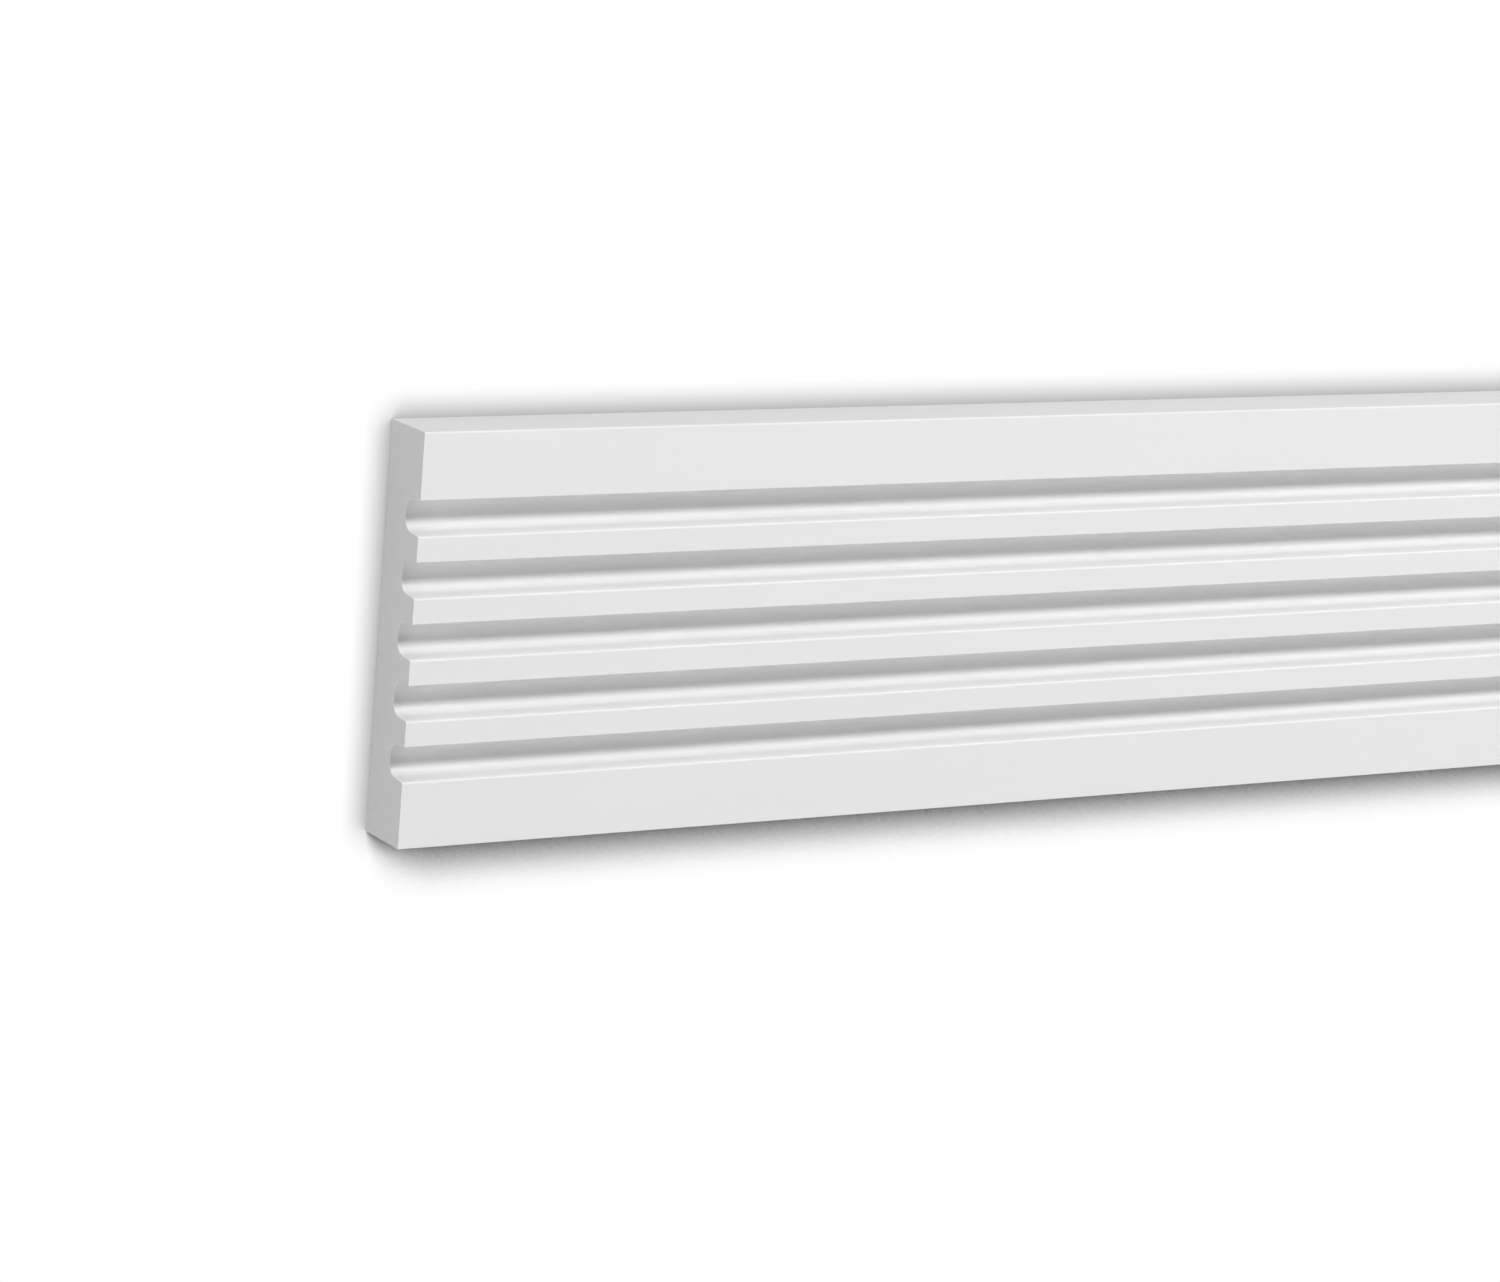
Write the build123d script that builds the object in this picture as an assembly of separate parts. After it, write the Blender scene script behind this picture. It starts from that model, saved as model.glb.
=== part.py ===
from build123d import *
from math import radians, tan
import os

# Fluted panel moulding in rigid foam: one straight length, moulded in one piece.
# All sizes are in millimetres and all angles in degrees.
# X runs along the length, Y across the width and Z up from the back face.
# The origin is the centre of the back face, which lies on the floor.

# Overall sizes: the length as sold, and the section's width and thickness
LENGTH = 2000.0
WIDTH = 100.0
THICKNESS = 17.0

# The flutes, equal and evenly spaced about the centre line
FLUTE_COUNT = 5
FLUTE_WIDTH = 8.6     # at the front face, between the two walls before they are rounded
FLUTE_DEPTH = 7.0
LAND_WIDTH = 6.15     # flat strip between two flutes, before its edges are rounded
WALL_DRAFT = 5.0      # lean of each wall, which lets the casting leave its mould

# Rounded edges of the section: those that face -Y are much crisper than those that face +Y
ROOT_RADIUS = 3.0           # each wall into the flat floor of its flute
SOFT_LIP_RADIUS = 0.5       # the flute's -Y wall out onto the front face
CRISP_LIP_RADIUS = 0.2      # the flute's +Y wall out onto the front face
SOFT_EDGE_RADIUS = 0.5      # the moulding's long front edge on its +Y side
CRISP_EDGE_RADIUS = 0.2     # the moulding's long front edge on its -Y side


def flute_outline():
    """One flute, hanging below the front face at Y = 0, with its two roots rounded."""
    half_mouth = FLUTE_WIDTH / 2
    half_floor = half_mouth - FLUTE_DEPTH * tan(radians(WALL_DRAFT))
    with BuildSketch() as flute:
        with BuildLine():
            Polyline(
                (-half_mouth, 0),
                (-half_floor, -FLUTE_DEPTH),
                (half_floor, -FLUTE_DEPTH),
                (half_mouth, 0),
                close=True,
            )
        make_face()
        fillet(flute.vertices().group_by(Axis.Y)[0], ROOT_RADIUS)
    return flute.sketch


def moulding_section():
    """The moulding's section: a flat bar with the row of flutes cut into its front."""
    with BuildSketch() as section:
        Rectangle(WIDTH, THICKNESS, align=(Align.CENTER, Align.MIN))
        with Locations((0, THICKNESS)):
            with GridLocations(FLUTE_WIDTH + LAND_WIDTH, 0, FLUTE_COUNT, 1):
                add(flute_outline(), mode=Mode.SUBTRACT)
        front_corners = section.vertices().group_by(Axis.Y)[-1].sort_by(Axis.X)
        lip_radii = [SOFT_LIP_RADIUS, CRISP_LIP_RADIUS] * FLUTE_COUNT
        radii = [CRISP_EDGE_RADIUS] + lip_radii + [SOFT_EDGE_RADIUS]
        for corner, radius in zip(front_corners, radii):
            fillet(section.vertices().sort_by_distance(corner)[0], radius)
    return section.sketch


def panel_moulding():
    """The whole length, cut square at both ends."""
    with BuildPart() as moulding:
        with BuildSketch(Plane.YZ):
            add(moulding_section())
        extrude(amount=LENGTH / 2, both=True)
    return moulding.part


os.makedirs("parts", exist_ok=True)
export_step(panel_moulding(), "parts/panel_moulding.step")
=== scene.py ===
from math import ceil, cos, pi, radians, sin, tan

import bmesh
import bpy
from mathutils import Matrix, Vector


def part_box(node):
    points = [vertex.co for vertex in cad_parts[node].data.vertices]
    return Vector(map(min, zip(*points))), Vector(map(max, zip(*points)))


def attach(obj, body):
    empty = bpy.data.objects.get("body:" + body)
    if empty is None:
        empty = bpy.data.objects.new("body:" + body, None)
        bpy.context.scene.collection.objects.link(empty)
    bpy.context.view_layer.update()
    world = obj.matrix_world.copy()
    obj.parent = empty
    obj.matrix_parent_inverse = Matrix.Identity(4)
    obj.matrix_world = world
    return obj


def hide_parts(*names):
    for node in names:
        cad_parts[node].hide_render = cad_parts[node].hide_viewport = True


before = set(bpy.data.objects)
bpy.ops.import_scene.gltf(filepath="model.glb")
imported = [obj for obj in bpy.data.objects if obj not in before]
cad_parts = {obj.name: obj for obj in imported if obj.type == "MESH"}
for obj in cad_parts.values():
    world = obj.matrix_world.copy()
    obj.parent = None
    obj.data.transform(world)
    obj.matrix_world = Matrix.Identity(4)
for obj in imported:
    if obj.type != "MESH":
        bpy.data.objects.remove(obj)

# Sizes in metres, as in the part: X along the length, Y across the width, Z out of the fluted front
MM = 0.001
NODE = "panel_moulding"
LOW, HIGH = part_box(NODE)
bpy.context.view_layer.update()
LENGTH = HIGH.x - LOW.x
WIDTH = HIGH.y - LOW.y
THICKNESS = HIGH.z - LOW.z

FLUTE_COUNT = 5
FLUTE_WIDTH = 8.6 * MM
FLUTE_DEPTH = 7.0 * MM
LAND_WIDTH = 6.15 * MM
WALL_DRAFT = radians(5.0)
ROOT_RADIUS = 3.0 * MM
SOFT_LIP_RADIUS = 0.5 * MM     # each flute's -Y wall out onto the front
CRISP_LIP_RADIUS = 0.2 * MM    # its +Y wall out onto the front
SOFT_EDGE_RADIUS = 0.5 * MM    # the front's long edge on the +Y side
CRISP_EDGE_RADIUS = 0.2 * MM   # the front's long edge on the -Y side
BACK_RADIUS = 0.2 * MM         # the long back edges, barely eased
SAW_EASE = 0.12 * MM           # the arris that the saw leaves round each end
ARC_STEP = radians(5.0)        # turn of one facet on a rounded edge
EASE_STEPS = 3                 # facets across the arris at each end
SHARP_TURN = radians(40.0)     # faces that turn by more than this meet in a sharp edge
LARGE_FACES_LEAD = 100         # so that the flat faces are shaded flat up to their rounded edges
DOWNWARD = -0.99               # a face whose normal's Z is below this is part of the back

# Surfaces: where the material of each lies in the moulding's list, and the white that they share
PRIMED, SAWN, SANDED = range(3)
WHITE = 0.79
PRIMER_SHADES = (WHITE - 0.005, WHITE + 0.005)
SAWN_SHADES = (WHITE + 0.02, WHITE - 0.05)            # in the middle of a cell, and on its wall
SANDED_SHADES = (WHITE - 0.03, WHITE)
PRIMER_GLOSS = 0.3
PRIMER_ROUGHNESS = (0.55, 0.65)
BARE_FOAM_GLOSS = 0.2
BARE_FOAM_ROUGHNESS = (0.75, 0.9)

# The part of each texture's values that is spread over a surface's range
CLOUD_VALUES = (0.3, 0.7)
CELL_VALUES = (0.2, 0.9)

# Fine detail of the surfaces: sizes along X, Y and Z, or one for all three, and the relief of each
GRAIN = 0.5 * MM                                      # sprayed primer
GRAIN_HEIGHT = 0.022 * MM
STREAK = (250.0 * MM, 2.5 * MM, 2.5 * MM)             # drawn along the length by the mould
STREAK_HEIGHT = 0.01 * MM
PRIMER_CLOUD = (80.0 * MM, 16.0 * MM, 16.0 * MM)      # where the primer lies a little thicker
SHEEN_PATCH = (32.0 * MM, 3.2 * MM, 3.2 * MM)
SAWN_CELL = 0.36 * MM                                 # closed foam cells, cut open by the saw
SAWN_CELL_DEPTH = 0.03 * MM
SAWN_FLECK = 1.1 * MM
BLADE_LINE = (1000.0 * MM, 16.0 * MM, 0.5 * MM)       # left across the end by the saw blade
BLADE_LINE_HEIGHT = 0.02 * MM
SANDED_CELL = 0.4 * MM
SANDED_CELL_DEPTH = 0.02 * MM
SANDED_BAND = (160.0 * MM, 1.4 * MM, 1000.0 * MM)
SCRATCH = (120.0 * MM, 0.4 * MM, 1000.0 * MM)         # left along the back by the sanding belt
SCRATCH_HEIGHT = 0.02 * MM

# The photograph's view
CAMERA_PLACE = (-1.51033, 0.24995, 0.98357)
CAMERA_TURN = (radians(-15.3034), radians(-30.8454), radians(5.2555))
CAMERA_LENS = 115.184          # this and the sensor's width are in millimetres
SENSOR_WIDTH = 36.0

# The key light: a square softbox, in the direction of KEY_SLOPE from a place near the moulding's left end
LIT_PLACE = Vector((LOW.x + 150 * MM, 0.0, THICKNESS))
KEY_SLOPE = Vector((0.35, 0.94, 1.0))
KEY_DISTANCE = 2.4
KEY_SIZE = 0.44
KEY_POWER = 41.9

# Fill lights, far off: name, strength, lean from straight above, turn from +X, and width, angles in degrees
FILL_LIGHTS = [
    ("fill_front", 0.15, 20, -90, 14),
    ("fill_below_high", 0.41, 33, -90, 14),
    ("fill_below_low", 0.35, 57, -90, 14),
    ("fill_below_side", 0.36, 82, -90, 14),
    ("fill_above", 0.65, 80, 90, 14),
    ("fill_left", 2.24, 80, 180, 50),
    ("fill_right", 1.25, 84, 0, 50),
]

# The floor: white where it is seen, with a soft painted shade round the object
FLOOR_SIZE = 12.0
FLOOR_DROP = 0.05 * MM         # it lies this far below the back, so that the two don't coincide
FLOOR_BOUNCE = 0.2             # share of the light that it gives back to the object
SHADE_SAMPLES = 20
CONTACT_REACH = 7.2 * MM       # how far the shade close round the object goes
SHADOW_REACH = 23.7 * MM       # and the wider shade, on the side away from the key light
SHADOW_LEAN = (-0.15, 0.956, 0.293)   # the direction in which the wider shade looks for the object
SHADOW_DARKEST = 0.412         # share of open directions that counts as full shade
SHADOW_LIGHTEST = 0.665        # and as none


def rounded_outline(corners):
    """A closed outline from (y, z, radius) corners, each an arc that is tangent to both its sides."""
    points = []
    for i, (y, z, radius) in enumerate(corners):
        corner = Vector((y, z))
        before = (Vector(corners[i - 1][:2]) - corner).normalized()
        after = (Vector(corners[(i + 1) % len(corners)][:2]) - corner).normalized()
        opening = before.angle(after)
        reach = radius / tan(opening / 2)
        centre = corner + (before + after).normalized() * (radius / sin(opening / 2))
        start = corner + before * reach - centre
        end = corner + after * reach - centre
        turn = start.angle_signed(end)
        steps = max(1, ceil(abs(turn) / ARC_STEP))
        for k in range(steps + 1):
            angle = -turn * k / steps
            points.append(centre + Vector((start.x * cos(angle) - start.y * sin(angle),
                                           start.x * sin(angle) + start.y * cos(angle))))
    return points


def flute_corners(middle):
    """The four corners of one flute, from its +Y lip to its -Y lip."""
    half_mouth = FLUTE_WIDTH / 2
    half_floor = half_mouth - FLUTE_DEPTH * tan(WALL_DRAFT)
    floor = THICKNESS - FLUTE_DEPTH
    return [
        (middle + half_mouth, THICKNESS, CRISP_LIP_RADIUS),
        (middle + half_floor, floor, ROOT_RADIUS),
        (middle - half_floor, floor, ROOT_RADIUS),
        (middle - half_mouth, THICKNESS, SOFT_LIP_RADIUS),
    ]


def section_outline():
    """The moulding's section in Y and Z, anticlockwise as seen from the +X end."""
    half = WIDTH / 2
    corners = [(-half, 0.0, BACK_RADIUS), (half, 0.0, BACK_RADIUS), (half, THICKNESS, SOFT_EDGE_RADIUS)]
    pitch = FLUTE_WIDTH + LAND_WIDTH
    for i in range(FLUTE_COUNT):
        corners += flute_corners(pitch * ((FLUTE_COUNT - 1) / 2 - i))
    corners.append((-half, THICKNESS, CRISP_EDGE_RADIUS))
    return rounded_outline(corners)


def outward(points):
    """The outward direction at each point of an anticlockwise outline."""
    found = []
    for i, point in enumerate(points):
        along = points[(i + 1) % len(points)] - points[i - 1]
        found.append(Vector((along.y, -along.x)).normalized())
    return found


def moulding_mesh():
    """Rings of the section joined along X, with an eased arris and a flat face at each end."""
    outline = section_outline()
    normals = outward(outline)
    # each step of an arris, from the ring on the end face to the ring where the sides begin
    arris = []
    for k in range(EASE_STEPS + 1):
        angle = pi / 2 * k / EASE_STEPS
        arris.append((SAW_EASE * (1 - cos(angle)), SAW_EASE * (1 - sin(angle))))
    left = [(LOW.x + along, inward) for along, inward in arris]
    right = [(HIGH.x - along, inward) for along, inward in reversed(arris)]
    bm = bmesh.new()
    rings = []
    for x, inward in left + right:
        rings.append([bm.verts.new((x, p.x - n.x * inward, p.y - n.y * inward))
                      for p, n in zip(outline, normals)])
    count = len(outline)
    for first, second in zip(rings, rings[1:]):
        for i in range(count):
            j = (i + 1) % count
            bm.faces.new((first[i], first[j], second[j], second[i]))
    ends = [bm.faces.new(list(reversed(rings[0]))), bm.faces.new(rings[-1])]
    bmesh.ops.recalc_face_normals(bm, faces=bm.faces[:])
    for face in bm.faces:
        face.smooth = True
        if face in ends:
            face.material_index = SAWN
        elif face.normal.z < DOWNWARD:
            face.material_index = SANDED
    mesh = bpy.data.meshes.new("moulding")
    bm.to_mesh(mesh)
    bm.free()
    return mesh


def new_material(name):
    """An empty node material, returned with its node tree."""
    material = bpy.data.materials.new(name)
    material.use_nodes = True
    tree = material.node_tree
    tree.nodes.clear()
    return material, tree


def place_in_features(tree, size):
    """The place on the object, counted in features of one size, or of a size for each axis."""
    sizes = size if isinstance(size, tuple) else (size, size, size)
    place = tree.nodes.new("ShaderNodeTexCoord")
    mapping = tree.nodes.new("ShaderNodeMapping")
    mapping.inputs["Scale"].default_value = [1.0 / length for length in sizes]
    tree.links.new(place.outputs["Object"], mapping.inputs["Vector"])
    return mapping.outputs["Vector"]


def noise(tree, size, detail=2.0):
    """A cloudy value whose features have the given size."""
    texture = tree.nodes.new("ShaderNodeTexNoise")
    texture.inputs["Scale"].default_value = 1.0
    texture.inputs["Detail"].default_value = detail
    tree.links.new(place_in_features(tree, size), texture.inputs["Vector"])
    return texture.outputs["Fac"]


def cells(tree, size):
    """The distance from the middle of the nearest foam cell, which is 0 in the middle."""
    texture = tree.nodes.new("ShaderNodeTexVoronoi")
    texture.inputs["Scale"].default_value = 1.0
    tree.links.new(place_in_features(tree, size), texture.inputs["Vector"])
    return texture.outputs["Distance"]


def spread_over(tree, texture, wanted, values=CLOUD_VALUES):
    """Turns a texture's value, between the two in values, into one between the two that are wanted."""
    spread = tree.nodes.new("ShaderNodeMapRange")
    for name, number in zip(("From Min", "From Max", "To Min", "To Max"), values + wanted):
        spread.inputs[name].default_value = number
    tree.links.new(texture, spread.inputs["Value"])
    return spread.outputs["Result"]


def relief(tree, value, height, below=None):
    """A bump of the given height in metres, on top of another bump where one is given."""
    bump = tree.nodes.new("ShaderNodeBump")
    bump.inputs["Strength"].default_value = 1.0
    bump.inputs["Distance"].default_value = height
    tree.links.new(value, bump.inputs["Height"])
    if below:
        tree.links.new(below, bump.inputs["Normal"])
    return bump.outputs["Normal"]


def matt_white(name, gloss, shade, roughness, normal):
    """A matt white surface from functions that make its shade, roughness and normal in the node tree."""
    material, tree = new_material(name)
    output = tree.nodes.new("ShaderNodeOutputMaterial")
    shader = tree.nodes.new("ShaderNodeBsdfPrincipled")
    shader.inputs["Specular IOR Level"].default_value = gloss
    grey = tree.nodes.new("ShaderNodeCombineColor")
    level = shade(tree)
    for channel in ("Red", "Green", "Blue"):
        tree.links.new(level, grey.inputs[channel])
    tree.links.new(grey.outputs["Color"], shader.inputs["Base Color"])
    tree.links.new(roughness(tree), shader.inputs["Roughness"])
    tree.links.new(normal(tree), shader.inputs["Normal"])
    tree.links.new(shader.outputs["BSDF"], output.inputs["Surface"])
    return material


def primer_material():
    """Factory white primer: matt, with a fine sprayed grain and faint long streaks from the mould."""
    def shade(tree):
        return spread_over(tree, noise(tree, PRIMER_CLOUD), PRIMER_SHADES)

    def roughness(tree):
        return spread_over(tree, noise(tree, SHEEN_PATCH), PRIMER_ROUGHNESS)

    def normal(tree):
        streaks = relief(tree, noise(tree, STREAK), STREAK_HEIGHT)
        return relief(tree, noise(tree, GRAIN), GRAIN_HEIGHT, streaks)

    return matt_white("white_primer", PRIMER_GLOSS, shade, roughness, normal)


def sawn_material():
    """The cut ends: fine closed cells, and faint lines that the saw blade leaves."""
    def shade(tree):
        return spread_over(tree, cells(tree, SAWN_CELL), SAWN_SHADES, CELL_VALUES)

    def roughness(tree):
        return spread_over(tree, noise(tree, SAWN_FLECK), BARE_FOAM_ROUGHNESS)

    def normal(tree):
        blade_lines = relief(tree, noise(tree, BLADE_LINE), BLADE_LINE_HEIGHT)
        return relief(tree, cells(tree, SAWN_CELL), SAWN_CELL_DEPTH, blade_lines)

    return matt_white("sawn_foam", BARE_FOAM_GLOSS, shade, roughness, normal)


def sanded_material():
    """The back, sanded flat for the glue: open cells under long straight scratches."""
    def shade(tree):
        return spread_over(tree, noise(tree, SANDED_BAND), SANDED_SHADES)

    def roughness(tree):
        return spread_over(tree, noise(tree, SCRATCH), BARE_FOAM_ROUGHNESS)

    def normal(tree):
        scratches = relief(tree, noise(tree, SCRATCH, detail=3.0), SCRATCH_HEIGHT)
        return relief(tree, cells(tree, SANDED_CELL), SANDED_CELL_DEPTH, scratches)

    return matt_white("sanded_foam", BARE_FOAM_GLOSS, shade, roughness, normal)


def make_moulding():
    """The moulding, dressed, in the place of its CAD node."""
    moulding = bpy.data.objects.new("fluted_moulding", moulding_mesh())
    bpy.context.scene.collection.objects.link(moulding)
    for material in (primer_material(), sawn_material(), sanded_material()):
        moulding.data.materials.append(material)
    moulding.data.set_sharp_from_angle(angle=SHARP_TURN)
    weighted = moulding.modifiers.new("even_shading", "WEIGHTED_NORMAL")
    weighted.keep_sharp = True
    weighted.weight = LARGE_FACES_LEAD
    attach(moulding, "root")
    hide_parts(NODE)


def seen_directly(tree):
    """A factor that is 1 for what the camera sees itself, or in a gloss or through glass."""
    rays = tree.nodes.new("ShaderNodeLightPath")
    factor = rays.outputs["Is Camera Ray"]
    for name in ("Is Glossy Ray", "Is Transmission Ray"):
        larger = tree.nodes.new("ShaderNodeMath")
        larger.operation = "MAXIMUM"
        tree.links.new(factor, larger.inputs[0])
        tree.links.new(rays.outputs[name], larger.inputs[1])
        factor = larger.outputs["Value"]
    return factor


def near_the_object(tree):
    """A factor that is 1 on the floor within reach of the object's shade, and 0 further out."""
    place = tree.nodes.new("ShaderNodeTexCoord")
    spread = tree.nodes.new("ShaderNodeVectorMath")
    spread.operation = "ABSOLUTE"
    tree.links.new(place.outputs["Object"], spread.inputs[0])
    beyond = tree.nodes.new("ShaderNodeVectorMath")
    beyond.operation = "SUBTRACT"
    beyond.inputs[1].default_value = (LENGTH / 2, WIDTH / 2, 0)
    tree.links.new(spread.outputs["Vector"], beyond.inputs[0])
    parts = tree.nodes.new("ShaderNodeSeparateXYZ")
    tree.links.new(beyond.outputs["Vector"], parts.inputs["Vector"])
    distance = tree.nodes.new("ShaderNodeMath")
    distance.operation = "MAXIMUM"
    tree.links.new(parts.outputs["X"], distance.inputs[0])
    tree.links.new(parts.outputs["Y"], distance.inputs[1])
    near = tree.nodes.new("ShaderNodeMath")
    near.operation = "LESS_THAN"
    near.inputs[1].default_value = SHADOW_REACH
    tree.links.new(distance.outputs["Value"], near.inputs[0])
    return near.outputs["Value"]


def floor_material():
    """White where it is seen, with a painted shade close to the object, but a dim grey in the light it
    bounces.
    """
    material, tree = new_material("white_floor")
    nodes, links = tree.nodes, tree.links
    output = nodes.new("ShaderNodeOutputMaterial")
    bounce = nodes.new("ShaderNodeBsdfDiffuse")
    bounce.inputs["Color"].default_value = (FLOOR_BOUNCE, FLOOR_BOUNCE, FLOOR_BOUNCE, 1)

    # Painted shade: the floor's own glow is dimmed by how much of the sky the object hides, close round it
    # and on the side away from the key light
    contact = nodes.new("ShaderNodeAmbientOcclusion")
    contact.samples = SHADE_SAMPLES
    contact.inputs["Distance"].default_value = CONTACT_REACH
    shadow = nodes.new("ShaderNodeAmbientOcclusion")
    shadow.samples = SHADE_SAMPLES
    shadow.inputs["Distance"].default_value = SHADOW_REACH
    lean = nodes.new("ShaderNodeCombineXYZ")
    for axis, value in zip("XYZ", SHADOW_LEAN):
        lean.inputs[axis].default_value = value
    links.new(lean.outputs["Vector"], shadow.inputs["Normal"])
    deeper = nodes.new("ShaderNodeMapRange")
    deeper.inputs["From Min"].default_value = SHADOW_DARKEST
    deeper.inputs["From Max"].default_value = SHADOW_LIGHTEST
    links.new(shadow.outputs["AO"], deeper.inputs["Value"])
    both = nodes.new("ShaderNodeMath")
    both.operation = "MULTIPLY"
    links.new(contact.outputs["AO"], both.inputs[0])
    links.new(deeper.outputs["Result"], both.inputs[1])
    painted_shade_floor = nodes.new("ShaderNodeEmission")
    links.new(both.outputs["Value"], painted_shade_floor.inputs["Strength"])
    open_floor = nodes.new("ShaderNodeEmission")

    near = nodes.new("ShaderNodeMixShader")
    links.new(near_the_object(tree), near.inputs["Fac"])
    links.new(open_floor.outputs["Emission"], near.inputs[1])
    links.new(painted_shade_floor.outputs["Emission"], near.inputs[2])
    mix = nodes.new("ShaderNodeMixShader")
    links.new(seen_directly(tree), mix.inputs["Fac"])
    links.new(bounce.outputs["BSDF"], mix.inputs[1])
    links.new(near.outputs["Shader"], mix.inputs[2])
    links.new(mix.outputs["Shader"], output.inputs["Surface"])
    return material


def make_floor():
    """A wide floor under the back."""
    bpy.ops.mesh.primitive_plane_add(size=FLOOR_SIZE, location=(0, 0, -FLOOR_DROP))
    floor = bpy.context.object
    floor.name = "floor"
    floor.data.materials.append(floor_material())


def aim(light, towards):
    """Turns a light so that it shines from the given direction."""
    light.rotation_euler = towards.to_track_quat("Z", "Y").to_euler()


def light_the_scene():
    """A softbox on the +Y side, fills round it, and a world that is white only where it is seen."""
    world = bpy.data.worlds.new("studio")
    bpy.context.scene.world = world
    world.use_nodes = True
    tree = world.node_tree
    tree.nodes.clear()
    output = tree.nodes.new("ShaderNodeOutputWorld")
    backdrop = tree.nodes.new("ShaderNodeBackground")
    backdrop.inputs["Color"].default_value = (1, 1, 1, 1)
    tree.links.new(seen_directly(tree), backdrop.inputs["Strength"])
    tree.links.new(backdrop.outputs["Background"], output.inputs["Surface"])

    lamp = bpy.data.lights.new("key", "AREA")
    lamp.shape = "SQUARE"
    lamp.size = KEY_SIZE
    lamp.energy = KEY_POWER
    key = bpy.data.objects.new("key", lamp)
    bpy.context.scene.collection.objects.link(key)
    key.location = LIT_PLACE + KEY_SLOPE.normalized() * KEY_DISTANCE
    aim(key, KEY_SLOPE)

    for name, strength, lean, turn, spread in FILL_LIGHTS:
        lamp = bpy.data.lights.new(name, "SUN")
        lamp.energy = strength
        lamp.angle = radians(spread)
        fill = bpy.data.objects.new(name, lamp)
        bpy.context.scene.collection.objects.link(fill)
        side = sin(radians(lean))
        aim(fill, Vector((side * cos(radians(turn)), side * sin(radians(turn)), cos(radians(lean)))))


def place_camera():
    """The camera, where the photograph was taken from."""
    lens = bpy.data.cameras.new("camera")
    lens.lens = CAMERA_LENS
    lens.sensor_width = SENSOR_WIDTH
    camera = bpy.data.objects.new("camera", lens)
    bpy.context.scene.collection.objects.link(camera)
    camera.location = CAMERA_PLACE
    camera.rotation_euler = CAMERA_TURN
    bpy.context.scene.camera = camera


make_moulding()
make_floor()
light_the_scene()
place_camera()
bpy.context.scene.view_settings.view_transform = "Standard"
